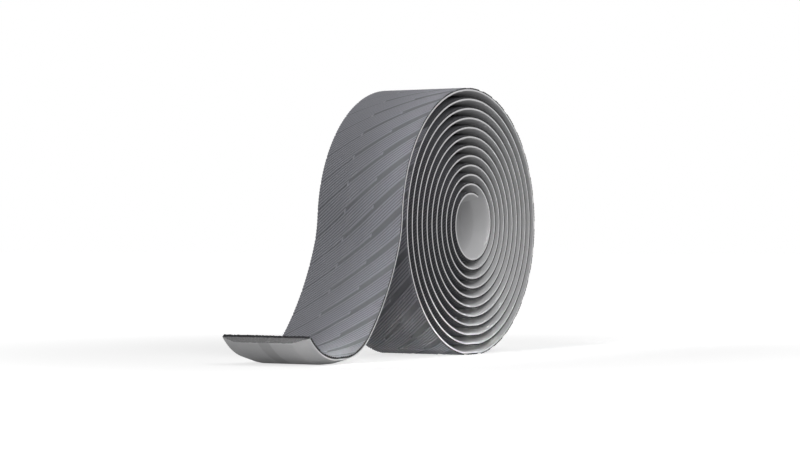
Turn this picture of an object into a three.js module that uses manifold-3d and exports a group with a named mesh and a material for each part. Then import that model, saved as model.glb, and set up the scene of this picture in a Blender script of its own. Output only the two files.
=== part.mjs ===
// A roll of cushioned handlebar tape: one strip with a ribbed cover on a foam backing, wound on itself
// with the cover outwards. The last stretch leaves the left side of the roll, hangs down to the surface
// and turns up again at its cut end. +Z is up, +Y runs along the roll's axle, and the origin is on the
// surface under the axle, in the middle of the roll's small flat spot.
import * as THREE from "three";
import { mergeVertices } from "three/addons/utils/BufferGeometryUtils.js";
import Module from "manifold-3d";

// The strip's section, in millimetres: full thickness in the middle, bevelled foam along both edges
const TAPE_WIDTH = 32;
const TAPE_THICKNESS = 2.6;
const EDGE_THICKNESS = 1;
const BEVEL_WIDTH = 5.6;

// The winding: the eye's radius is measured to the cover at the inner end of the tape
const EYE_RADIUS = 10.8;
const WOUND_TURNS = 11.31;
const TURN_GAP = 0.57;
const FLAT_SPOT = 12;
const FLATTENED_TURNS = 4;

// The loose tail, from the left side of the roll to its cut end. The first angle, in degrees, is how far
// above the axle's level it leaves, and the others are headings measured from straight down.
const LEAVES_ABOVE_AXLE = 3.2;
const LEAVE_RADIUS = 33;
const LEAVE_HEADING = 21;
const HANG_HEADING = 44;
const FOOT_RADIUS = 20;
const FOOT_FLAT = 4;
const TIP_RADIUS = 20;
const TIP_LENGTH = 17;

// The cover's smooth bands: each starts at the -Y edge, runs slantwise over the tape and narrows in a
// step at each third of its width. The widths are measured along the tape, from the -Y edge's third on,
// and the slant is for the whole width.
const BAND_PITCH = 9.3;
const BAND_SLANT = 27.5;
const BAND_WIDTHS = [2.9, 1.8, 0.7];
const BAND_DEPTH = 0.3;
const BAND_END_MARGIN = 6.9;

// How far flat facets may stray from the true curve on the covered turns and on the outer one
const COVERED_SAG = 0.15;
const OUTER_SAG = 0.06;

// Slivers narrower than this that the cuts leave are taken up by their neighbours
const CUT_TOLERANCE = 0.02;

const degrees = THREE.MathUtils.degToRad;
const { sin, cos, sqrt, min, max, round, ceil, PI } = Math;

// The spiral: its radius grows by a thickness and a gap in each turn. Its angle is measured from the
// top, towards the tail's side, and the last lowest point comes half a turn before the top.
const turnPitch = TAPE_THICKNESS + TURN_GAP;
const growth = turnPitch / (2 * PI);
const woundAngle = WOUND_TURNS * 2 * PI;
const leaveAngle = PI / 2 - degrees(LEAVES_ABOVE_AXLE);
const leaveRadius = EYE_RADIUS + growth * woundAngle;
const lastBottomAngle = -PI;

const lengthWound = (angle) => EYE_RADIUS * angle + (growth * angle ** 2) / 2;
const angleWound = (length) => (sqrt(EYE_RADIUS ** 2 + 2 * growth * length) - EYE_RADIUS) / growth;
const woundLength = lengthWound(woundAngle);

// The weight of the roll presses its lowest point flat, and the turns above that less and less
const bottomRadius = leaveRadius - growth * (leaveAngle - lastBottomAngle);
const flatDepth = bottomRadius - sqrt(bottomRadius ** 2 - (FLAT_SPOT / 2) ** 2);
const axleHeight = bottomRadius - flatDepth;

function lowestLevel(angle, height) {
  const turnsInward = round((lastBottomAngle - angle) / (2 * PI));
  const pressed = flatDepth * min(1, max(0, 1 - turnsInward / FLATTENED_TURNS));
  return pressed - (bottomRadius - turnPitch * turnsInward + height);
}

// The tail is a chain of arcs, each a length of tape and the angle through which its heading turns. The
// hang has the radius that brings the foam under the foot down to the surface.
const leaveHeading = degrees(LEAVES_ABOVE_AXLE);
const slackHeading = degrees(LEAVE_HEADING);
const footHeading = degrees(HANG_HEADING);
const leavePoint = new THREE.Vector2(-leaveRadius * sin(leaveAngle), leaveRadius * cos(leaveAngle));

const fall = leavePoint.y + axleHeight - TAPE_THICKNESS;
const fallInLeaving = LEAVE_RADIUS * (sin(slackHeading) - sin(leaveHeading));
const fallInFoot = FOOT_RADIUS * (1 - sin(footHeading));
const hangRadius = (fall - fallInLeaving - fallInFoot) / (sin(footHeading) - sin(slackHeading));

const arc = (radius, turn) => ({ length: radius * turn, turn });
const tailArcs = [
  arc(LEAVE_RADIUS, slackHeading - leaveHeading),
  arc(hangRadius, footHeading - slackHeading),
  arc(FOOT_RADIUS, PI / 2 - footHeading),
  { length: FOOT_FLAT, turn: 0 },
  arc(TIP_RADIUS, TIP_LENGTH / TIP_RADIUS),
];
const tapeLength = tailArcs.reduce((sum, piece) => sum + piece.length, woundLength);

// The point and heading after a length of tape that turns evenly through an angle: its chord has the
// heading of its middle
function advance({ x, z, heading }, length, turn) {
  const chord = turn === 0 ? length : (length * sin(turn / 2)) / (turn / 2);
  const middle = heading + turn / 2;
  return { x: x - chord * sin(middle), z: z - chord * cos(middle), heading: heading + turn };
}

// Where a point of the unrolled strip lies on the object. Its own coordinates are the length from the
// inner end, the place across the width, and the height above the cover.
function onRoll(length, across, height) {
  if (length <= woundLength) {
    const wound = angleWound(length);
    const angle = leaveAngle - woundAngle + wound;
    const radius = EYE_RADIUS + growth * wound + height;
    return [-radius * sin(angle), across, max(radius * cos(angle), lowestLevel(angle, height))];
  }
  let place = { x: leavePoint.x, z: leavePoint.y, heading: leaveHeading };
  let left = length - woundLength;
  for (const piece of tailArcs) {
    const taken = min(left, piece.length);
    place = advance(place, taken, (piece.turn * taken) / piece.length);
    left -= taken;
  }
  const { x, z, heading } = advance(place, left, 0);
  return [x - height * cos(heading), across, z + height * sin(heading)];
}

// Bends a solid made on the unrolled strip. The reader gives each vertex's length, place across and height.
function bend(geometry, reader) {
  const position = geometry.attributes.position;
  for (let i = 0; i < position.count; i += 1) {
    const strip = reader(position.getX(i), position.getY(i), position.getZ(i));
    position.setXYZ(i, ...onRoll(...strip));
  }
  return geometry;
}

// The lengths at which a stretch of the strip gets a cross-section: at its start, and on from there as
// often as its curve needs. A facet that turns through an angle strays from its curve by an eighth of
// its length times that angle.
function stretch(from, to, turn, sag) {
  const steps = max(1, ceil(sqrt(((to - from) * turn) / (8 * sag))));
  return Array.from({ length: steps }, (_, i) => from + ((to - from) * i) / steps);
}

const lastBottom = lastBottomAngle - leaveAngle + woundAngle;
const flatHalfAngle = Math.asin(FLAT_SPOT / 2 / bottomRadius);
const outerTurn = woundAngle - 2 * PI;

function crossSections() {
  const lengths = [];
  const spiralTo = (from, to, sag) => {
    lengths.push(...stretch(lengthWound(from), lengthWound(to), to - from, sag));
  };
  for (let angle = 0; angle < outerTurn; angle += 2 * PI) {
    spiralTo(angle, min(angle + 2 * PI, outerTurn), COVERED_SAG);
  }
  spiralTo(outerTurn, lastBottom - flatHalfAngle, OUTER_SAG);
  spiralTo(lastBottom - flatHalfAngle, lastBottom + flatHalfAngle, OUTER_SAG);
  spiralTo(lastBottom + flatHalfAngle, woundAngle, OUTER_SAG);
  let done = woundLength;
  for (const { length, turn } of tailArcs) {
    lengths.push(...stretch(done, done + length, turn, OUTER_SAG));
    done += length;
  }
  return [...lengths, tapeLength];
}

// The plain strip: the bevelled section carried along the whole tape
function makeStrip() {
  const half = TAPE_WIDTH / 2;
  const section = new THREE.Shape([
    new THREE.Vector2(0, half),
    new THREE.Vector2(-EDGE_THICKNESS, half),
    new THREE.Vector2(-TAPE_THICKNESS, half - BEVEL_WIDTH),
    new THREE.Vector2(-TAPE_THICKNESS, BEVEL_WIDTH - half),
    new THREE.Vector2(-EDGE_THICKNESS, -half),
    new THREE.Vector2(0, -half),
  ]);
  const lengths = crossSections();
  const last = lengths.length - 1;
  const flat = new THREE.ExtrudeGeometry(section, { depth: last, steps: last, bevelEnabled: false });
  return bend(flat, (height, across, index) => [lengths[round(index)], across, height]);
}

// One part of a smooth band, over one of its even shares of the tape's width, as the solid that it takes
// out of the cover. It stands a little clear of the cover and runs a little past its near end.
function makeBandPart(nearEnd, width, index) {
  const clear = TURN_GAP / 2;
  const share = TAPE_WIDTH / BAND_WIDTHS.length;
  const across = share + clear;
  const stops = ceil(across / sqrt(8 * leaveRadius * OUTER_SAG));
  const flat = new THREE.BoxGeometry(across, width, BAND_DEPTH + clear, stops, 1, 1);
  flat.translate(share * (index + 1) - across / 2, nearEnd - width / 2, (clear - BAND_DEPTH) / 2);
  const slope = BAND_SLANT / TAPE_WIDTH;
  return bend(flat, (x, y, z) => [y + slope * x, x - TAPE_WIDTH / 2, z]);
}

const wasm = await Module();
wasm.setup();

// A closed geometry as a solid that can be cut, and back
function solidOf(geometry) {
  geometry.deleteAttribute("normal");
  geometry.deleteAttribute("uv");
  const merged = mergeVertices(geometry);
  return new wasm.Manifold(
    new wasm.Mesh({
      numProp: 3,
      vertProperties: merged.attributes.position.array,
      triVerts: new Uint32Array(merged.index.array),
    }),
  );
}

function geometryOf(solid) {
  const mesh = solid.getMesh();
  const geometry = new THREE.BufferGeometry();
  geometry.setAttribute("position", new THREE.BufferAttribute(mesh.vertProperties, 3));
  geometry.setIndex(new THREE.BufferAttribute(mesh.triVerts, 1));
  geometry.computeVertexNormals();
  return geometry;
}

// The tape, with bands wherever its cover shows: from the turn under the tail to the cut end
function makeTape() {
  const firstShown = lengthWound(outerTurn) - BAND_SLANT;
  let tape = solidOf(makeStrip());
  for (let nearEnd = tapeLength - BAND_END_MARGIN; nearEnd > firstShown; nearEnd -= BAND_PITCH) {
    BAND_WIDTHS.forEach((width, index) => {
      tape = tape.subtract(solidOf(makeBandPart(nearEnd, width, index)));
    });
  }
  return geometryOf(tape.simplify(CUT_TOLERANCE));
}

const coverFinish = new THREE.MeshStandardMaterial({ color: 0x6f7074, roughness: 0.7, metalness: 0 });
const tape = new THREE.Mesh(makeTape(), coverFinish);
tape.name = "tape";
tape.position.z = axleHeight;

const roll = new THREE.Group();
roll.name = "handlebar_tape_roll";
roll.add(tape);

export default roll;
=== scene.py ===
"""The look of a roll of cushioned handlebar tape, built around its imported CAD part.

The tape is one strip: a thin ribbed cover bonded to a foam backing with bevelled edges, wound on
itself with the cover outwards. Its loose tail leaves the left side of the roll, hangs down to the
surface and turns up again at its cut end. Every piece is a surface over two parameters, the length
along the tape and the place across its width, which the path bends onto the roll.

Sizes are in millimetres up to the mesh, which is in metres, in the frame of the CAD part.
"""

import logging
import math
from collections.abc import Iterator, Sequence
from dataclasses import dataclass, field
from enum import Enum

import bpy
import numpy as np
from mathutils import Matrix, Vector
from numpy.typing import NDArray


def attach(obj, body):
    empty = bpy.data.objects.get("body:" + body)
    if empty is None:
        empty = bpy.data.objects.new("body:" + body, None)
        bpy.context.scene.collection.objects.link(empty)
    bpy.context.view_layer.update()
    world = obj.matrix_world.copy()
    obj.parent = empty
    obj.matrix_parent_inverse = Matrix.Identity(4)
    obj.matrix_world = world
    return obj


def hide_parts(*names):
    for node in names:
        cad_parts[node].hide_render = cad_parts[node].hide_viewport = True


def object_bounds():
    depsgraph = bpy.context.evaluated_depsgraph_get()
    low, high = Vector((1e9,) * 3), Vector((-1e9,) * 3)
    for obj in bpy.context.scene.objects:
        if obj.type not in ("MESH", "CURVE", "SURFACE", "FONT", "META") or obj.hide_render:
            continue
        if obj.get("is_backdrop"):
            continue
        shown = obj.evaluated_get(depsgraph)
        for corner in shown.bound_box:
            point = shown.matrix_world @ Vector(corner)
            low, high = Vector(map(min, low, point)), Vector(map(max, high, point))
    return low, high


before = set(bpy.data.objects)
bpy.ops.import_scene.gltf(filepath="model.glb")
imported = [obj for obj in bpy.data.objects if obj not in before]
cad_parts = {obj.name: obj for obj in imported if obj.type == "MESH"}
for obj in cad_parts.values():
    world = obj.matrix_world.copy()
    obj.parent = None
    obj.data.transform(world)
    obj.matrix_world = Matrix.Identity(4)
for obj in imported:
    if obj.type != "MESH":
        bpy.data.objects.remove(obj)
CAD_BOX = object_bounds()

logging.basicConfig(level=logging.INFO, format="%(message)s")
log = logging.getLogger("tape_roll")

Array = NDArray[np.float64]
Indices = NDArray[np.int64]
Flags = NDArray[np.bool_]
Colour = tuple[float, float, float]
Socket = bpy.types.NodeSocket
Finishes = Sequence[bpy.types.Material]

METRE = 0.001
BODY = "root"
NODE = "tape"
STRIP = "strip"
ROUNDING = 1e-9
SEED = 7


class Slot(Enum):
    """The record's material slots."""

    COVER = "cover"
    BACKING = "backing"


@dataclass(frozen=True)
class TapeSection:
    """The strip's section, measured down from the cover's outer face.

    The cover is pressed on the roll and gets thicker towards the tail's free end. The strip's edges
    gain a share of that.
    """

    width: float = 32.0
    thickness: float = 2.6
    edge: float = 1.0
    bevel: float = 5.6
    cover: float = 0.47
    free_cover: float = 0.78
    edge_share: float = 0.4

    @property
    def half(self) -> float:
        """Half of the width."""
        return self.width / 2

    def foam_face(self, across: Array, cover: Array | float, swelling: Array | float = 0.0) -> Array:
        """The height of the foam's open face: it falls evenly over each bevel and is level between them.

        Args:
            across: the place across the width.
            cover: the cover's thickness.
            swelling: how much thicker the foam is in the middle than on the roll.

        Returns:
            The height, below nought.
        """
        inward = np.clip((self.half - np.abs(across)) / self.bevel, 0, 1)
        edge = self.edge + self.edge_share * (cover - self.cover)
        return -edge - (self.thickness + swelling - edge) * inward


@dataclass(frozen=True)
class RollPath:
    """The way the strip takes: a spiral from the eye outwards, then a chain of arcs to the surface."""

    section: TapeSection = field(default_factory=TapeSection)
    eye_radius: float = 10.8
    wound_turns: float = 11.31
    turn_gap: float = 0.57
    flat_spot: float = 12.0
    flattened_turns: int = 4
    leaves_above_axle: float = 3.2
    leave_radius: float = 33.0
    leave_heading: float = 21.0
    hang_heading: float = 44.0
    foot_radius: float = 20.0
    foot_flat: float = 4.0
    tip_radius: float = 20.0
    tip_length: float = 17.0

    @property
    def pitch(self) -> float:
        """How far the spiral's radius grows in a turn."""
        return self.section.thickness + self.turn_gap

    @property
    def growth(self) -> float:
        """How far the spiral's radius grows in a radian."""
        return self.pitch / (2 * math.pi)

    @property
    def wound_angle(self) -> float:
        """The whole angle that is wound."""
        return self.wound_turns * 2 * math.pi

    @property
    def leave_angle(self) -> float:
        """Where the tail leaves, measured from the top towards the tail's side."""
        return math.pi / 2 - math.radians(self.leaves_above_axle)

    @property
    def outer_radius(self) -> float:
        """The spiral's radius where the tail leaves."""
        return self.eye_radius + self.growth * self.wound_angle

    @property
    def bottom_radius(self) -> float:
        """The spiral's radius at its last lowest point, half a turn before the top."""
        return self.outer_radius - self.growth * (self.leave_angle + math.pi)

    @property
    def flat_depth(self) -> float:
        """How deep the flat spot is pressed."""
        return self.bottom_radius - math.sqrt(self.bottom_radius**2 - (self.flat_spot / 2) ** 2)

    @property
    def axle_height(self) -> float:
        """The height of the axle over the surface."""
        return self.bottom_radius - self.flat_depth

    @property
    def wound_length(self) -> float:
        """The length of tape on the roll."""
        return float(self.length_wound(self.wound_angle))

    @property
    def tail(self) -> Array:
        """The tail's arcs, one row each: its length and the angle through which its heading turns.

        The hang's radius brings the foam under the foot down to the surface: it is what is left of
        the fall after the arcs above and below it, over the difference of its headings' sines.
        """
        start, slack, foot = np.radians([self.leaves_above_axle, self.leave_heading, self.hang_heading])
        fall = self.outer_radius * math.cos(self.leave_angle) + self.axle_height - self.section.thickness
        fall -= self.leave_radius * (math.sin(slack) - math.sin(start))
        fall -= self.foot_radius * (1 - math.sin(foot))
        hang_radius = fall / (math.sin(foot) - math.sin(slack))
        return np.array(
            [
                [self.leave_radius * (slack - start), slack - start],
                [hang_radius * (foot - slack), foot - slack],
                [self.foot_radius * (math.pi / 2 - foot), math.pi / 2 - foot],
                [self.foot_flat, 0.0],
                [self.tip_length, self.tip_length / self.tip_radius],
            ]
        )

    @property
    def length(self) -> float:
        """The length of the whole tape, measured on its cover."""
        return self.wound_length + float(self.tail[:, 0].sum())

    def cover_depth(self, length: Array | float) -> Array | float:
        """The cover's thickness at a length: even on the roll, then it grows evenly to its free one."""
        share = np.clip((length - self.wound_length) / (self.length - self.wound_length), 0, 1)
        return self.section.cover + (self.section.free_cover - self.section.cover) * share

    def length_wound(self, angle: Array | float) -> Array | float:
        """The length wound on after an angle: the radius integrated over the angle."""
        return self.eye_radius * angle + self.growth * angle**2 / 2

    def angle_wound(self, length: Array) -> Array:
        """The angle after which a length is wound on, the inverse of length_wound."""
        return (np.sqrt(self.eye_radius**2 + 2 * self.growth * length) - self.eye_radius) / self.growth

    def on_spiral(self, length: Array, height: Array) -> tuple[Array, Array]:
        """Places points on the spiral.

        The radius is the eye's radius plus the growth times the angle wound so far, plus the height.
        A point lies at (-radius sin angle, radius cos angle), but no lower than the flat spot lets
        it: the outer turn's lowest level is the surface, and each turn inwards is pressed less.

        Args:
            length: the length from the inner end.
            height: the height over the cover's outer face.

        Returns:
            The points' x and z, measured from the axle.
        """
        wound = self.angle_wound(length)
        angle = self.leave_angle - self.wound_angle + wound
        radius = self.eye_radius + self.growth * wound + height
        inward = np.round((-math.pi - angle) / (2 * math.pi))
        pressed = self.flat_depth * np.clip(1 - inward / self.flattened_turns, 0, 1)
        lowest = pressed - (self.bottom_radius - self.pitch * inward + height)
        return -radius * np.sin(angle), np.maximum(radius * np.cos(angle), lowest)

    def on_tail(self, run: Array, height: Array) -> tuple[Array, Array]:
        """Places points on the tail.

        The heading is measured from straight down towards -X. Over a part with a steady curvature
        the chord is the part times sin(turn / 2) / (turn / 2), along the heading halfway. Each arc
        starts where the chords before it end, and the height is laid off square to the heading.

        Args:
            run: the length from where the tail leaves the roll.
            height: the height over the cover's outer face.

        Returns:
            The points' x and z, measured from the axle.
        """
        arcs = self.tail
        ends = np.cumsum(arcs[:, 0])
        headings = math.radians(self.leaves_above_axle) + np.cumsum(arcs[:, 1]) - arcs[:, 1]

        def chord(heading: Array, part: Array, turn: Array) -> tuple[Array, Array]:
            """The step in x and z over a part that turns through an angle."""
            reach = part * np.sinc(turn / (2 * np.pi))
            return -reach * np.sin(heading + turn / 2), -reach * np.cos(heading + turn / 2)

        step_x, step_z = chord(headings, arcs[:, 0], arcs[:, 1])
        start_x = -self.outer_radius * math.sin(self.leave_angle) + np.cumsum(step_x) - step_x
        start_z = self.outer_radius * math.cos(self.leave_angle) + np.cumsum(step_z) - step_z
        arc = np.clip(np.searchsorted(ends, run), 0, len(arcs) - 1)
        part = run - (ends - arcs[:, 0])[arc]
        turn = arcs[arc, 1] * part / arcs[arc, 0]
        move_x, move_z = chord(headings[arc], part, turn)
        heading = headings[arc] + turn
        x = start_x[arc] + move_x - height * np.cos(heading)
        return x, start_z[arc] + move_z + height * np.sin(heading)

    def place(self, length: Array, across: Array, height: Array) -> Array:
        """Bends points of the flat strip onto the roll and its tail.

        Args:
            length: the length from the inner end.
            across: the place across the width, from -Y to +Y.
            height: the height over the cover's outer face.

        Returns:
            The points in metres, one row each.
        """
        spiral_x, spiral_z = self.on_spiral(np.minimum(length, self.wound_length), height)
        tail_x, tail_z = self.on_tail(np.maximum(length - self.wound_length, 0), height)
        on_roll = length <= self.wound_length
        x = np.where(on_roll, spiral_x, tail_x)
        z = np.where(on_roll, spiral_z, tail_z) + self.axle_height
        return np.column_stack([x, across, z]) * METRE

    def stations(self, start: float, end: float, degrees: float) -> Array:
        """The lengths of even steps in angle between two lengths, at most so many degrees each.

        The tail turns slowly, so it gets steps of one length, that of a step where it leaves.

        Args:
            start: the first length.
            end: the last length.
            degrees: the largest step in angle.

        Returns:
            The lengths in order, both ends among them.
        """
        step = math.radians(degrees)
        last_wound = min(end, self.wound_length)
        first, last = self.angle_wound(np.array([start, last_wound]))
        wound = self.length_wound(np.linspace(first, last, max(2, math.ceil((last - first) / step) + 1)))
        if end <= self.wound_length:
            return wound
        tail_steps = max(1, math.ceil((end - self.wound_length) / (step * self.tip_radius)))
        return np.append(wound, np.linspace(self.wound_length, end, tail_steps + 1)[1:])


@dataclass(frozen=True)
class GripPattern:
    """The cover's relief: slanting ribs, and in each repeat a smooth band that narrows in steps.

    The band's edge towards the cut end is one straight line across the tape. It takes a little more
    than the ribs leave of the repeat, and the place of whole ribs: two on the near third and one on
    the middle third. On the far third it is only a wider groove. Where it narrows, a raised rim
    joins the ends of the ribs.

    A rib's profile has five stops, as shares of its pitch: the start and the end of the groove, and
    the start, the middle and the end of the crest.
    """

    repeat: float = 9.3
    slant: float = 27.5
    end_margin: float = 6.9
    ribs: int = 8
    rib_pitch: float = 1.12
    left_out: tuple[int, int, int] = (2, 1, 0)
    groove_depth: float = 0.17
    band_depth: float = 0.27
    rim: float = 0.36
    flank: float = 0.12
    even_places: int = 5
    stops: tuple[float, ...] = (0.0, 0.26, 0.38, 0.64, 0.9)
    levels: tuple[float, ...] = (0.0, 0.0, 0.8, 1.0, 0.8)

    def shear(self, across: Array, section: TapeSection) -> Array:
        """How far along the tape a rib lies at a place across, against its near end."""
        return self.slant * (across + section.half) / section.width

    def columns(self, section: TapeSection) -> tuple[Array, Indices, Flags]:
        """The places across at which the relief is worked out.

        Each third has even places. At each step from one third to the next, the rim's two sides
        come between them, and the even places keep a flank's width away from the rim.

        Args:
            section: the tape's section.

        Returns:
            The places across, the third that each belongs to, and whether it lies on a rim.
        """
        thirds = len(self.left_out)
        third = section.width / thirds
        places, shares, rims = [], [], []
        for index in range(thirds):
            start = index * third - section.half
            rim = [start, start + self.rim] if index else []
            begin = start + (self.rim + self.flank if index else 0)
            end = start + third - (self.flank if index < thirds - 1 else 0)
            places += [*rim, *np.linspace(begin, end, self.even_places)]
            rims += [True] * len(rim) + [False] * self.even_places
            shares += [index] * (len(rim) + self.even_places)
        return np.array(places), np.array(shares), np.array(rims)

    def rows(self, first: float, end: float, tape_end: float) -> tuple[Array, Indices, Indices]:
        """The lines along the ribs at which the relief is worked out, by the length at the near edge.

        Each rib has one line for each stop of its profile. What the ribs leave of a repeat comes
        after its first line. The lines next to the tape's far corner and to both corners of the
        cover's end are moved onto them, so that the cover's corners are points of the grid.

        Args:
            first: the length at which the pattern starts.
            end: the length at which the cover ends.
            tape_end: the tape's length. The repeats start at the margin before it.

        Returns:
            The lengths from small to large, the rib of its repeat, and the stop that each line is.
        """
        origin = tape_end - self.end_margin
        repeats = np.arange(-1, math.ceil((origin - first) / self.repeat))
        rest = self.repeat - self.ribs * self.rib_pitch
        repeat, rib, stop = np.meshgrid(
            repeats, np.arange(self.ribs), np.arange(len(self.stops)), indexing="ij"
        )
        after = rest * (rib + stop > 0) + self.rib_pitch * (rib + np.array(self.stops)[stop])
        lengths = origin - self.repeat * repeat - after
        kept = (lengths > first) & (lengths < end)
        order = np.argsort(lengths[kept])
        lengths, rib, stop = (part[kept][order] for part in (lengths, rib, stop))
        for far_corner in (tape_end - self.slant, end - self.slant):
            lengths[np.argmin(np.abs(lengths - far_corner))] = far_corner
        lengths[-1] = end
        return lengths, rib, stop

    def relief(self, rib: Indices, stop: Indices, share: Indices, on_rim: Flags) -> tuple[Array, Array]:
        """The relief over the grid of rows and columns.

        A rib's level comes from its profile at the row's stop. Where the third leaves ribs out, the
        level is the band's floor. The rib next to a band has no groove, so its crest starts with the
        groove's end, and on the far third the first groove is as deep as a band. A rim's level is
        full over the ribs that start at its step. The height is minus the depth times what the
        level lacks of one.

        Args:
            rib: each row's rib in its repeat.
            stop: each row's stop in the profile.
            share: each column's third of the width.
            on_rim: whether a column lies on a rim.

        Returns:
            The level from 0 to 1 and the height, rows by columns.
        """
        left_out = np.array(self.left_out)[share][None, :]
        wider = np.array((self.left_out[0], *self.left_out[:-1]))[share][None, :]
        rib, stop = rib[:, None], stop[:, None]
        level = np.array(self.levels)[stop] + np.zeros_like(left_out)
        groove_start, groove_end, crest_start = range(3)
        beside_band = (rib == left_out) & (left_out > 0)
        level = np.where(beside_band & (stop == groove_end), self.levels[crest_start], level)
        hairline = (left_out == 0) & (rib == 0) & (stop < crest_start)
        in_band = rib < left_out
        level = np.where(in_band, 0, level)
        level = np.where(on_rim[None, :] & (rib >= left_out) & (rib < wider), 1, level)
        deep = in_band | hairline | (beside_band & (stop == groove_start))
        depth = np.where(deep, self.band_depth, self.groove_depth)
        return level, -depth * (1 - level)


@dataclass
class StripMesh:
    """A closed piece of the strip, from its upper face, given over lengths and places across.

    The lower face has the same grid of points at its own heights, and walls join the two along
    every open edge of the grid.
    """

    path: RollPath
    length: Array
    across: Array
    top: Array
    bottom: Array
    level: Array
    corner: Indices

    def faces(self) -> tuple[Indices, Flags]:
        """The triangles of the closed piece.

        Each cell of the grid is two triangles, less those that have a corner twice, and the lower
        face repeats them turned over. An edge of the upper face whose reverse is in no triangle is
        open, and it gets a wall of two triangles.

        Returns:
            The triangles by index, and whether each is a wall.
        """
        a, b = self.corner[:-1, :-1].ravel(), self.corner[:-1, 1:].ravel()
        c, d = self.corner[1:, 1:].ravel(), self.corner[1:, :-1].ravel()
        upper = np.concatenate([np.column_stack([a, b, c]), np.column_stack([a, c, d])])
        distinct = (upper != np.roll(upper, 1, axis=1)).all(axis=1)
        upper = upper[distinct]
        count = len(self.length)
        edges = np.concatenate([upper[:, [0, 1]], upper[:, [1, 2]], upper[:, [2, 0]]])
        forward = edges[:, 0] * count + edges[:, 1]
        backward = edges[:, 1] * count + edges[:, 0]
        start, end = edges[~np.isin(forward, backward)].T
        walls = np.concatenate(
            [
                np.column_stack([end, start, start + count]),
                np.column_stack([end, start + count, end + count]),
            ]
        )
        triangles = np.concatenate([upper, upper[:, ::-1] + count, walls])
        is_wall = np.arange(len(triangles)) >= 2 * len(upper)
        return triangles, is_wall

    def build(self, name: str, finishes: Finishes) -> bpy.types.Object:
        """Makes the piece.

        Every point keeps its length, its place across and its level as the attribute that the
        finishes read. The upper and lower faces are shaded smooth and the walls flat.

        Args:
            name: the piece's name.
            finishes: the finish of the faces and that of the walls.

        Returns:
            The finished object, at the origin.
        """
        points = np.concatenate(
            [self.path.place(self.length, self.across, height) for height in (self.top, self.bottom)]
        )
        triangles, is_wall = self.faces()
        if signed_volume(points, triangles) < 0:
            triangles = triangles[:, ::-1]
        strip = np.column_stack([self.length, self.across, self.level])
        return make_piece(
            name, points, triangles, is_wall, ~is_wall, np.concatenate([strip, strip]), finishes
        )


def signed_volume(points: Array, triangles: Indices) -> float:
    """A closed mesh's volume: a sixth of the sum of each triangle's triple product."""
    a, b, c = (points[triangles[:, corner]] for corner in range(3))
    return float(np.einsum("ij,ij->", a, np.cross(b, c)) / 6)


def edge_keys(pairs: Indices, count: int) -> Indices:
    """One number for each pair of points, whichever way round it is given."""
    return pairs.min(axis=1) * count + pairs.max(axis=1)


def mark_sharp(mesh: bpy.types.Mesh, triangles: Indices) -> None:
    """Makes every edge of some triangles sharp, so that the faces beside them keep their shading."""
    count = len(mesh.vertices)
    sides = np.concatenate([triangles[:, [0, 1]], triangles[:, [1, 2]], triangles[:, [2, 0]]])
    edges = np.empty(2 * len(mesh.edges), dtype=np.int32)
    mesh.edges.foreach_get("vertices", edges)
    sharp = np.isin(edge_keys(edges.reshape(-1, 2).astype(np.int64), count), edge_keys(sides, count))
    mesh.edges.foreach_set("use_edge_sharp", sharp)


def make_piece(
    name: str,
    points: Array,
    triangles: Indices,
    is_cut: Flags,
    is_smooth: Flags,
    strip: Array,
    finishes: Finishes,
) -> bpy.types.Object:
    """Puts arrays into a mesh object at the origin.

    Args:
        name: the piece's name.
        points: the points in metres.
        triangles: the triangles, facing outwards.
        is_cut: whether a triangle takes the second finish.
        is_smooth: whether a triangle is shaded smooth.
        strip: each point's length, place across and level.
        finishes: the layer's own finish and that of its cut edges.

    Returns:
        The object.
    """
    mesh = bpy.data.meshes.new(name)
    mesh.from_pydata(points.tolist(), [], triangles.tolist())
    for finish in finishes:
        mesh.materials.append(finish)
    mesh.polygons.foreach_set("material_index", is_cut.astype(np.int32))
    mesh.polygons.foreach_set("use_smooth", is_smooth)
    mark_sharp(mesh, triangles[~is_smooth])
    attribute = mesh.attributes.new(STRIP, "FLOAT_VECTOR", "POINT")
    attribute.data.foreach_set("vector", strip.astype(np.float32).ravel())
    mesh.update()
    piece = bpy.data.objects.new(name, mesh)
    bpy.context.scene.collection.objects.link(piece)
    return piece


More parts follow.
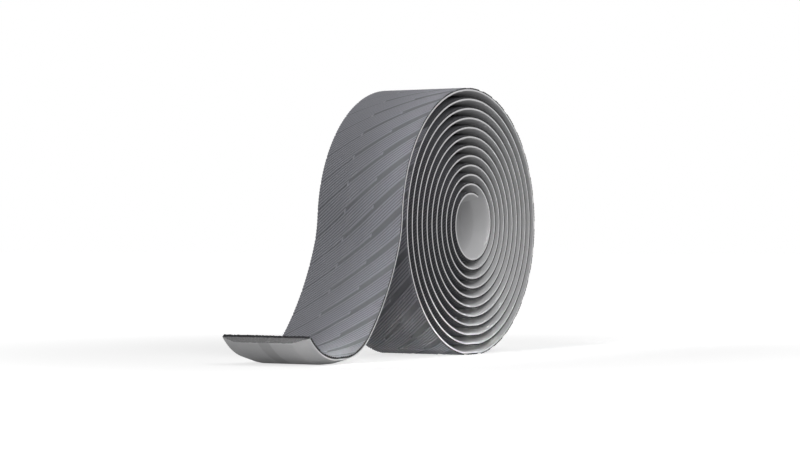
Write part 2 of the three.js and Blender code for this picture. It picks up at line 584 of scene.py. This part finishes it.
class Shader:
    """A material's node tree, with short ways to add and join its nodes."""

    def __init__(self, name: str) -> None:
        """Starts a material with one Principled shader.

        Args:
            name: the material's name.
        """
        self.material = bpy.data.materials.new(name)
        self.material.use_nodes = True
        self.tree = self.material.node_tree
        self.surface = self.tree.nodes["Principled BSDF"]

    def join(self, target: Socket, value: Socket | float | Sequence[float]) -> None:
        """Links a socket to an input, or sets the input to a constant."""
        if isinstance(value, bpy.types.NodeSocket):
            self.tree.links.new(value, target)
        else:
            target.default_value = value

    def sums(self, operation: str, *values: Socket | float) -> Socket:
        """The result of one operation on numbers."""
        node = self.tree.nodes.new("ShaderNodeMath")
        node.operation = operation
        for index, value in enumerate(values):
            self.join(node.inputs[index], value)
        return node.outputs[0]

    def strip(self) -> tuple[Socket, Socket, Socket]:
        """The length, the place across and the level of the shaded point."""
        read = self.tree.nodes.new("ShaderNodeAttribute")
        read.attribute_name = STRIP
        parts = self.tree.nodes.new("ShaderNodeSeparateXYZ")
        self.join(parts.inputs[0], read.outputs["Vector"])
        return parts.outputs[0], parts.outputs[1], parts.outputs[2]

    def noise(self, grain: float, detail: float) -> Socket:
        """Noise on Object coordinates, from 0 to 1, with a grain in millimetres."""
        place = self.tree.nodes.new("ShaderNodeTexCoord")
        node = self.tree.nodes.new("ShaderNodeTexNoise")
        self.join(node.inputs["Vector"], place.outputs["Object"])
        self.join(node.inputs["Scale"], 1 / (grain * METRE))
        self.join(node.inputs["Detail"], detail)
        return node.outputs[0]

    def distance(self) -> Socket:
        """The shaded point's distance from the object's origin, in metres."""
        place = self.tree.nodes.new("ShaderNodeTexCoord")
        node = self.tree.nodes.new("ShaderNodeVectorMath")
        node.operation = "LENGTH"
        self.join(node.inputs[0], place.outputs["Object"])
        return node.outputs["Value"]

    def ramp(self, value: Socket, start: float, end: float) -> Socket:
        """A smooth rise from 0 to 1 as a value goes from the start to the end."""
        node = self.tree.nodes.new("ShaderNodeMapRange")
        node.interpolation_type = "SMOOTHSTEP"
        self.join(node.inputs["Value"], value)
        self.join(node.inputs["From Min"], start)
        self.join(node.inputs["From Max"], end)
        return node.outputs[0]

    def blend(self, share: Socket, low: Colour | Socket, high: Colour | Socket) -> Socket:
        """A colour between two, by a share from 0 to 1."""
        node = self.tree.nodes.new("ShaderNodeMix")
        node.data_type = "RGBA"
        self.join(node.inputs[0], share)
        for target, colour in ((node.inputs[6], low), (node.inputs[7], high)):
            self.join(target, colour if isinstance(colour, bpy.types.NodeSocket) else (*colour, 1.0))
        return node.outputs[2]

    def relief(self, height: Socket, depth: float) -> None:
        """Bends the shading as if the surface stood up.

        Args:
            height: how far it stands up, from 0 to 1.
            depth: what a height of 1 is, in millimetres.
        """
        node = self.tree.nodes.new("ShaderNodeBump")
        self.join(node.inputs["Height"], height)
        self.join(node.inputs["Distance"], depth * METRE)
        self.join(node.inputs["Strength"], 1.0)
        self.join(self.surface.inputs["Normal"], node.outputs[0])

    def finish(self, colour: Socket | Colour, roughness: float, reflection: float) -> None:
        """Sets the surface's colour, roughness and level of reflection."""
        self.join(
            self.surface.inputs["Base Color"],
            colour if isinstance(colour, bpy.types.NodeSocket) else (*colour, 1.0),
        )
        self.join(self.surface.inputs["Roughness"], roughness)
        self.join(self.surface.inputs["Specular IOR Level"], reflection)


def shaded(colour: Colour, factor: float) -> Colour:
    """A colour made darker or lighter by a factor."""
    return tuple(part * factor for part in colour)


@dataclass(frozen=True)
class CoverFinish:
    """Matt polyurethane, painted lighter on the ribs' crests and darker in the grooves and bands: painted
    highlight and painted shade.
    """

    # painted shade in the grooves and bands, and painted highlight on the crests
    hollow: Colour = (0.140, 0.142, 0.156)
    crest: Colour = (0.285, 0.288, 0.316)
    roughness: float = 0.62
    reflection: float = 0.3
    grain: float = 0.12
    detail: float = 2.0
    grain_depth: float = 0.01
    grain_swing: float = 0.2
    # painted shade: the factor that darkens the cover between the turns
    painted_shade_between_turns: float = 0.42
    crest_middle: float = 0.64
    crest_reach: tuple[float, float] = (0.24, 0.36)

    def on_relief(self) -> bpy.types.Material:
        """The finish of the cover whose ribs are in its mesh: noise swings the level a little, and the
        level paints shade in the grooves and bands and a highlight on the crests.
        """
        shader = Shader("cover_ribbed")
        _, _, level = shader.strip()
        grain = shader.noise(self.grain, self.detail)
        swing = shader.sums("SUBTRACT", grain, 0.5)
        share = shader.sums("MULTIPLY_ADD", swing, self.grain_swing, level)
        # painted shade and highlight: the colour is darker the deeper the relief lies
        colour = shader.blend(share, self.hollow, self.crest)
        shader.finish(colour, self.roughness, self.reflection)
        shader.relief(grain, self.grain_depth)
        return shader.material

    def on_level(self, pattern: GripPattern, path: RollPath) -> bpy.types.Material:
        """The finish of the cover between the turns, whose ribs are in the shading only.

        Its colour is painted darker than outside, as painted shade, because the real turns touch and let
        no light in from behind.

        The place in the rib's pitch is the part after the point of (origin - length + shear) over the
        pitch. Its distance from the crest's middle gives the level, which is one near the middle and
        falls smoothly to nought. The level paints a highlight on the crests and shade in the grooves.

        Args:
            pattern: the pattern of ribs.
            path: the roll's path.

        Returns:
            The material.
        """
        shader = Shader("cover_between_turns")
        length, across, _ = shader.strip()
        slope = pattern.slant / path.section.width
        origin = path.length - pattern.end_margin + slope * path.section.half
        sheared = shader.sums("MULTIPLY_ADD", across, slope, origin)
        ribs = shader.sums("DIVIDE", shader.sums("SUBTRACT", sheared, length), pattern.rib_pitch)
        place = shader.sums("FRACT", ribs)
        distance = shader.sums("ABSOLUTE", shader.sums("SUBTRACT", place, self.crest_middle))
        level = shader.sums("SUBTRACT", 1.0, shader.ramp(distance, *self.crest_reach))
        # painted shade between the turns, and painted highlight and shade on the ribs
        hollow, crest = shaded(self.hollow, self.painted_shade_between_turns), shaded(self.crest, self.painted_shade_between_turns)
        shader.finish(shader.blend(level, hollow, crest), self.roughness, self.reflection)
        shader.relief(level, pattern.groove_depth)
        return shader.material


@dataclass(frozen=True)
class PlainFinish:
    """A finish of one colour with a fine grain."""

    name: str
    colour: Colour
    roughness: float = 0.8
    reflection: float = 0.2
    grain: float = 0.3
    detail: float = 3.0
    grain_range: tuple[float, float] = (0.3, 0.7)
    depth: float = 0.03
    mottle: float = 0.1

    def build(self) -> bpy.types.Material:
        """Makes the material: noise swings the colour's brightness and the surface."""
        shader = Shader(self.name)
        grain = shader.noise(self.grain, self.detail)
        dark, light = shaded(self.colour, 1 - self.mottle), shaded(self.colour, 1 + self.mottle)
        colour = shader.blend(shader.ramp(grain, *self.grain_range), dark, light)
        shader.finish(colour, self.roughness, self.reflection)
        shader.relief(grain, self.depth)
        return shader.material


@dataclass(frozen=True)
class FoamFinish:
    """Pale closed-cell foam with a strip of adhesive along its face, a little darker."""

    foam: Colour = (0.62, 0.62, 0.628)
    lighter: float = 1.06
    adhesive: Colour = (0.53, 0.53, 0.537)
    strip_start: float = -2.4
    strip_end: float = 1.7
    soft_edge: float = 0.25
    roughness: float = 0.75
    reflection: float = 0.25
    grain: float = 0.22
    detail: float = 3.0
    depth: float = 0.02

    def build(self) -> bpy.types.Material:
        """Makes the material: the strip is a smooth window on the place across."""
        shader = Shader("foam_backing")
        _, across, _ = shader.strip()
        edge = self.soft_edge
        inside = shader.ramp(across, self.strip_start - edge, self.strip_start + edge)
        beyond = shader.ramp(across, self.strip_end - edge, self.strip_end + edge)
        strip = shader.sums("MULTIPLY", inside, shader.sums("SUBTRACT", 1.0, beyond))
        grain = shader.noise(self.grain, self.detail)
        foam = shader.blend(grain, self.foam, shaded(self.foam, self.lighter))
        shader.finish(shader.blend(strip, foam, self.adhesive), self.roughness, self.reflection)
        shader.relief(grain, self.depth)
        return shader.material


@dataclass
class Layer:
    """A piece of the tape, with its own finish and that of its edges or cut face."""

    path: RollPath
    name: str
    slot: Slot
    finishes: Finishes

    def surface(self) -> StripMesh:
        """The piece as a closed mesh of the strip, in the layers that are one."""
        raise NotImplementedError

    def build(self) -> bpy.types.Object:
        """Makes the piece's object."""
        return self.surface().build(self.name, self.finishes)

    def dress(self) -> None:
        """Makes the piece. It rides on the part, and the CAD tape that it stands for is hidden."""
        piece = self.build()
        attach(piece, BODY)
        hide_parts(NODE)
        log.info("%s: %d triangles", piece.name, len(piece.data.polygons))


@dataclass
class RibbedCover(Layer):
    """The cover where it shows, from the turn under the tail to the cut end, its ribs in the mesh."""

    pattern: GripPattern
    end_slice: float
    hidden_start: float = 6.0

    @property
    def start(self) -> float:
        """The length of the first row at the near edge, still under the outer turn."""
        outer_turn = self.path.wound_angle - 2 * math.pi
        return float(self.path.length_wound(outer_turn)) - self.pattern.slant - self.hidden_start

    def surface(self) -> StripMesh:
        """The sheared grid: its rows run along the ribs, so a row's length grows with the shear.

        A row's reach is the place across at which its length comes to the end: what is left of the
        length over the slant, times the width, less half of it. A row that would pass the cut end
        stops on it, and the points beyond are one with its last.

        Returns:
            The closed mesh.
        """
        section = self.path.section
        end = self.path.length - self.end_slice
        across, share, on_rim = self.pattern.columns(section)
        rows, rib, stop = self.pattern.rows(self.start, end, self.path.length)
        level, height = self.pattern.relief(rib, stop, share, on_rim)
        reach = (end - rows) / self.pattern.slant * section.width - section.half
        past = across[None, :] >= reach[:, None] - ROUNDING
        first_past = np.where(past.any(axis=1), past.argmax(axis=1), len(across) - 1)
        across = np.minimum(across[None, :], reach[:, None])
        corner = np.arange(across.size).reshape(across.shape)
        column = np.minimum(np.arange(across.shape[1])[None, :], first_past[:, None])
        corner = np.take_along_axis(corner, column, axis=1)
        used, corner = np.unique(corner, return_inverse=True)
        length = rows[:, None] + self.pattern.shear(across, section)
        length, across, height, level = (part.ravel()[used] for part in (length, across, height, level))
        return StripMesh(
            self.path, length, across, height, -self.path.cover_depth(length), level,
            corner.reshape(len(rows), -1),
        )


@dataclass
class EvenStrip(Layer):
    """A layer of the strip on an even grid of lengths and places across, between two faces."""

    stations: Array
    across: Array
    top: Array
    bottom: Array
    sheared: Array | float = 0.0

    def surface(self) -> StripMesh:
        """The grid: every length with every place across, each length moved by its shear.

        Returns:
            The closed mesh.
        """
        length = self.stations[:, None] + np.zeros_like(self.across)[None, :] + self.sheared
        shape = length.shape
        across, top, bottom = (
            np.broadcast_to(part, shape).ravel() for part in (self.across, self.top, self.bottom)
        )
        corner = np.arange(length.size).reshape(shape)
        return StripMesh(self.path, length.ravel(), across, top, bottom, np.ones(length.size), corner)


@dataclass
class CutEnd(Layer):
    """The last slice of a layer, torn a little by the knife: a closed slab whose open face is rough.

    The open face has the cut's finish and the other faces have the layer's own.
    """

    outer: float
    inner: float
    across: Array
    top: Array
    bottom: Array
    roughness: float = 0.05
    layers: int = 5
    level: float = 0.5

    def build(self) -> bpy.types.Object:
        """Makes the slab.

        Its points are a grid over the two faces of the slice, the place across and the share of the
        way from the top to the bottom. The open face's lengths swing by random numbers.

        Returns:
            The object.
        """
        share = np.linspace(0, 1, self.layers)[:, None]
        across = np.broadcast_to(self.across, (self.layers, len(self.across)))
        height = self.top + (self.bottom - self.top) * share
        swing = np.random.default_rng(SEED).normal(0, self.roughness, across.shape)
        face = np.full(across.shape, self.outer) + swing * math.copysign(1, self.outer - self.inner)
        back = np.full(across.shape, self.inner)
        points = np.concatenate(
            [self.path.place(part.ravel(), across.ravel(), height.ravel()) for part in (face, back)]
        )
        count = across.size
        corner = np.arange(count).reshape(across.shape)
        a, b, c, d = (
            part.ravel() for part in (corner[:-1, :-1], corner[:-1, 1:], corner[1:, 1:], corner[1:, :-1])
        )
        front = np.concatenate([np.column_stack([a, b, c]), np.column_stack([a, c, d])])
        rim = np.concatenate([corner[0, :-1], corner[:-1, -1], corner[-1, :0:-1], corner[:0:-1, 0]])
        after = np.roll(rim, -1)
        walls = np.concatenate(
            [
                np.column_stack([after, rim, rim + count]),
                np.column_stack([after, rim + count, after + count]),
            ]
        )
        triangles = np.concatenate([front, front[:, ::-1] + count, walls])
        if signed_volume(points, triangles) < 0:
            triangles = triangles[:, ::-1]
        strip = np.column_stack([face.ravel(), across.ravel(), np.full(count, self.level)])
        is_front = np.arange(len(triangles)) < len(front)
        return make_piece(
            self.name, points, triangles, is_front, np.zeros_like(is_front),
            np.concatenate([strip, strip]), self.finishes,
        )


@dataclass
class Tape:
    """The whole tape: cover, foam and cut ends."""

    path: RollPath = field(default_factory=RollPath)
    pattern: GripPattern = field(default_factory=GripPattern)

    cover: CoverFinish = CoverFinish()
    cover_edge: PlainFinish = PlainFinish("cover_cut_edge", (0.026, 0.026, 0.028), grain=0.15, mottle=0.3)
    foam: FoamFinish = FoamFinish()
    # a lighter copy of the foam's colour: painted light on the side edges, which face the front lamps
    foam_edge_painted_light: PlainFinish = PlainFinish(
        "foam_edge_painted_light", (0.78, 0.78, 0.79), grain=0.2, depth=0.01, mottle=0.03
    )
    foam_cut: PlainFinish = PlainFinish(
        "foam_cut", (0.21, 0.21, 0.212), roughness=0.95, depth=0.06, mottle=0.25
    )

    cover_step: float = 4.0
    cover_places: tuple[float, ...] = (-1, -0.8, -0.6, -0.3, 0, 0.3, 0.6, 0.8, 1)
    shear_run: float = 150.0

    foam_step: float = 2.5
    face_places: tuple[float, ...] = (0, 3.5, 7.0)
    crease_places: tuple[float, ...] = (-0.5, -0.15, 0.2, 0.6, 3.0)
    crease_depth: float = 0.05
    crease_width: float = 0.35
    end_swelling: float = 0.8
    swelling_run: float = 14.0

    end_slice: float = 0.45
    cut_places: int = 81
    cover_recess: float = 0.02
    torn_depth: float = 1.05
    torn_roughness: float = 0.08
    torn_layers: int = 3

    def dress(self) -> None:
        """Makes the finishes and dresses every layer in order."""
        cover_edge, foam = self.cover_edge.build(), self.foam.build()
        cover_finishes = (self.cover.on_relief(), cover_edge)
        ribbed = RibbedCover(
            self.path, "cover_outer_turn_and_tail", Slot.COVER, cover_finishes,
            pattern=self.pattern,
            end_slice=self.end_slice,
        )
        ribbed.dress()
        inner_finish = self.cover.on_level(self.pattern, self.path)
        self.inner_cover(ribbed.start, (inner_finish, cover_edge)).dress()
        self.backing((foam, self.foam_edge_painted_light.build())).dress()
        for cut_end in self.cut_ends(cover_finishes, (foam, self.foam_cut.build())):
            cut_end.dress()

    def inner_cover(self, end: float, finishes: Finishes) -> EvenStrip:
        """The cover between the turns, up to where the ribbed cover starts along a rib.

        Each length is moved by a share of the ribs' shear. Over the last stretch the share rises
        smoothly from nought to one, as three times the square of the run less twice its cube.

        Args:
            end: the length at which the ribbed cover starts at the near edge.
            finishes: the finish of the faces and that of the edges.

        Returns:
            The layer.
        """
        section = self.path.section
        stations = self.path.stations(self.end_slice, end, self.cover_step)
        across = np.array(self.cover_places) * section.half
        run = np.clip((stations - (end - self.shear_run)) / self.shear_run, 0, 1)
        share = run**2 * (3 - 2 * run)
        return EvenStrip(
            self.path, "cover_inner_turns", Slot.COVER, finishes, stations, across,
            top=np.zeros_like(across),
            bottom=np.full_like(across, -section.cover),
            sheared=share[:, None] * self.pattern.shear(across, section)[None, :],
        )

    def backing(self, finishes: Finishes) -> EvenStrip:
        """The foam, in one piece from end to end but for the two cut slices.

        Its places across are close together at the crease between the face and each bevel, where a
        bell curve hollows it a little. At the tail's end it swells by the square of the run.

        Args:
            finishes: the finish of the faces and that of the edges.

        Returns:
            The layer.
        """
        section = self.path.section
        crease = section.half - section.bevel
        half = np.array([*self.face_places, *(crease + np.array(self.crease_places)), section.half])
        across = np.concatenate([-half[:0:-1], half])
        last = self.path.length - self.end_slice
        stations = self.path.stations(self.end_slice, last, self.foam_step)
        run = np.clip(1 - (last - stations) / self.swelling_run, 0, 1)
        cover = self.path.cover_depth(stations)[:, None]
        face = section.foam_face(across, cover, self.end_swelling * run[:, None] ** 2)
        face += self.crease_depth * np.exp(-(((np.abs(across) - crease) / self.crease_width) ** 2))
        return EvenStrip(
            self.path, "foam_backing", Slot.BACKING, finishes, stations, across,
            top=-cover + np.zeros_like(across),
            bottom=face,
        )

    def cut_ends(self, cover: Finishes, foam: Finishes) -> Iterator[CutEnd]:
        """The slices of cover and foam at both ends. The tail's is torn and swollen.

        Args:
            cover: the cover's own finish and that of its cut face.
            foam: the foam's own finish and that of its cut face.

        Yields:
            The slices.
        """
        section = self.path.section
        across = np.linspace(-section.half, section.half, self.cut_places)
        last = self.path.length - self.end_slice
        for end, outer, inner, torn, swelling in (
            ("tail", self.path.length, last, self.torn_depth, self.end_swelling),
            ("inner", 0.0, self.end_slice, section.cover, 0.0),
        ):
            seam = np.full_like(across, -torn)
            yield CutEnd(
                self.path, f"cover_cut_{end}_end", Slot.COVER, cover, outer, inner, across,
                top=np.full_like(across, -self.cover_recess),
                bottom=seam,
                roughness=self.torn_roughness,
                layers=self.torn_layers,
            )
            yield CutEnd(
                self.path, f"foam_cut_{end}_end", Slot.BACKING, foam, outer, inner, across,
                top=seam,
                bottom=section.foam_face(across, self.path.cover_depth(outer), swelling),
            )


@dataclass(frozen=True)
class Lamp:
    """A soft lamp that looks at a point, with places and sizes in millimetres.

    Its spread, in degrees, is how wide a grid in front of it lets its light out.
    """

    name: str
    place: tuple[float, float, float]
    target: tuple[float, float, float]
    width: float
    height: float
    watts: float
    spread: float = 180.0

    def hang(self) -> None:
        """Adds the lamp, unseen by the camera."""
        light = bpy.data.lights.new(self.name, "AREA")
        light.shape = "RECTANGLE"
        light.size = self.width * METRE
        light.size_y = self.height * METRE
        light.spread = math.radians(self.spread)
        light.energy = self.watts
        lamp = bpy.data.objects.new(self.name, light)
        bpy.context.scene.collection.objects.link(lamp)
        place = Vector(self.place) * METRE
        lamp.location = place
        lamp.rotation_euler = (Vector(self.target) * METRE - place).to_track_quat("-Z", "Y").to_euler()
        lamp.visible_camera = False


@dataclass(frozen=True)
class PhotoCamera:
    """The camera, by its turn about the upright, its tilt, and its distance and shift in pixels."""

    turn: float = 59.13677
    tilt: float = -0.38686
    distance: float = 2487.04
    shift_right: float = -31.04
    shift_up: float = -0.648
    pixel: float = 0.34012
    picture_width: int = 800
    film: float = 36.0

    def place(self, axle_height: float) -> None:
        """Sets up the camera: it looks along its forward direction, past the axle's middle.

        Args:
            axle_height: the height of the axle, in millimetres.
        """
        turn, tilt = math.radians(self.turn), math.radians(self.tilt)
        level = Vector((math.sin(turn), math.cos(turn), 0))
        forward = level * math.cos(tilt) - Vector((0, 0, math.sin(tilt)))
        right = Vector((math.cos(turn), -math.sin(turn), 0))
        up = right.cross(forward)
        middle = Vector((0, 0, axle_height * METRE))
        shift = right * self.shift_right + up * self.shift_up - forward * self.distance
        data = bpy.data.cameras.new("camera")
        data.sensor_fit = "HORIZONTAL"
        data.sensor_width = self.film
        data.lens = self.film * self.distance / self.picture_width
        data.clip_start = 0.01
        camera = bpy.data.objects.new("camera", data)
        bpy.context.scene.collection.objects.link(camera)
        turned = Matrix((right, up, -forward)).transposed().to_4x4()
        camera.matrix_world = Matrix.Translation(middle + shift * self.pixel * METRE) @ turned
        bpy.context.scene.camera = camera


@dataclass(frozen=True)
class Studio:
    """A white sweep under soft lamps.

    The ambient light and the floor's glow are strengths, of which 1 is white. The glow's two
    values belong to the two distances of its reach, in millimetres.
    """

    lamps: tuple[Lamp, ...] = (
        Lamp("near_left", (-200, -330, 260), (-20, -10, 45), 160, 160, 0.36),
        Lamp("near_right", (250, -330, 200), (0, 0, 45), 200, 200, 0.1),
        Lamp("far_left", (-300, 250, 200), (-20, -10, 45), 200, 200, 0.145),
        Lamp("top", (-20, -250, 380), (-20, 0, 45), 200, 200, 0.35),
        Lamp("low_left", (-300, -60, 20), (-30, 0, 30), 200, 40, 0.105),
        Lamp("low_near", (-150, -300, 15), (-30, 0, 30), 120, 60, 0.06),
        Lamp("strip_high", (-282, -30, 358), (-2, -30, 78), 30, 185, 0.0105, 10),
        Lamp("strip_low", (-420, -30, 100), (0, -30, 50), 30, 220, 0.0065, 10),
        Lamp("on_foot", (-105, -50, 330), (-82, -9, 3), 20, 20, 0.0026, 6),
        Lamp("on_low_roll", (-330, -190, 12), (-20, -16, 2), 30, 20, 0.0022, 6),
    )
    ambient: float = 0.25
    floor_size: float = 12000.0
    floor_colour: float = 0.45
    floor_glow: tuple[float, float] = (0.7, 0.9)
    glow_reach: tuple[float, float] = (90.0, 260.0)

    def seen_directly(self, tree: bpy.types.NodeTree) -> Socket:
        """One for a camera, glossy or transmission ray, and nought for the others."""
        rays = tree.nodes.new("ShaderNodeLightPath")
        total = rays.outputs["Is Camera Ray"]
        for name in ("Is Glossy Ray", "Is Transmission Ray"):
            node = tree.nodes.new("ShaderNodeMath")
            node.operation = "MAXIMUM"
            tree.links.new(total, node.inputs[0])
            tree.links.new(rays.outputs[name], node.inputs[1])
            total = node.outputs[0]
        return total

    def light_world(self) -> None:
        """A world that is white where it is seen and an even, dimmer light elsewhere."""
        world = bpy.data.worlds.new("studio")
        world.use_nodes = True
        tree = world.node_tree
        background = tree.nodes["Background"]
        background.inputs["Color"].default_value = (1, 1, 1, 1)
        strength = tree.nodes.new("ShaderNodeMapRange")
        strength.inputs["To Min"].default_value = self.ambient
        strength.inputs["To Max"].default_value = 1.0
        tree.links.new(self.seen_directly(tree), strength.inputs["Value"])
        tree.links.new(strength.outputs[0], background.inputs["Strength"])
        bpy.context.scene.world = world

    def lay_floor(self) -> None:
        """A white floor that still takes the roll's shadow.

        It is a diffuse surface with a glow where it is seen. The glow grows with the distance from
        the roll, as the lamps' light gets less.
        """
        half = self.floor_size * METRE / 2
        mesh = bpy.data.meshes.new("floor")
        corners = [(-half, -half, 0), (half, -half, 0), (half, half, 0), (-half, half, 0)]
        mesh.from_pydata(corners, [], [(0, 1, 2, 3)])
        floor = bpy.data.objects.new("floor", mesh)
        bpy.context.scene.collection.objects.link(floor)
        shader = Shader("floor")
        shader.finish((self.floor_colour,) * 3, roughness=1.0, reflection=0.0)
        reach = shader.sums("DIVIDE", shader.distance(), METRE)
        share = shader.ramp(reach, *self.glow_reach)
        near, far = self.floor_glow
        level = shader.sums("MULTIPLY_ADD", share, far - near, near)
        glow = shader.sums("MULTIPLY", self.seen_directly(shader.tree), level)
        shader.join(shader.surface.inputs["Emission Color"], (1, 1, 1, 1))
        shader.join(shader.surface.inputs["Emission Strength"], glow)
        mesh.materials.append(shader.material)
        floor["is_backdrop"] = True

    def build(self) -> None:
        """Sets up the world, the floor and the lamps."""
        bpy.context.scene.view_settings.view_transform = "Standard"
        self.light_world()
        self.lay_floor()
        for lamp in self.lamps:
            lamp.hang()
            log.info("lamp %s", lamp.name)


def write_sizes() -> None:
    """Works out the CAD part's box and the visual model's box as plain lists, and does not keep them."""
    boxes = {"cad": CAD_BOX, "visual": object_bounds()}
    {name: [list(corner) for corner in box] for name, box in boxes.items()}


def main() -> None:
    """Builds the camera, the tape and the studio."""
    tape = Tape()
    PhotoCamera().place(tape.path.axle_height)
    tape.dress()
    Studio().build()
    write_sizes()


if __name__ == "__main__":
    main()
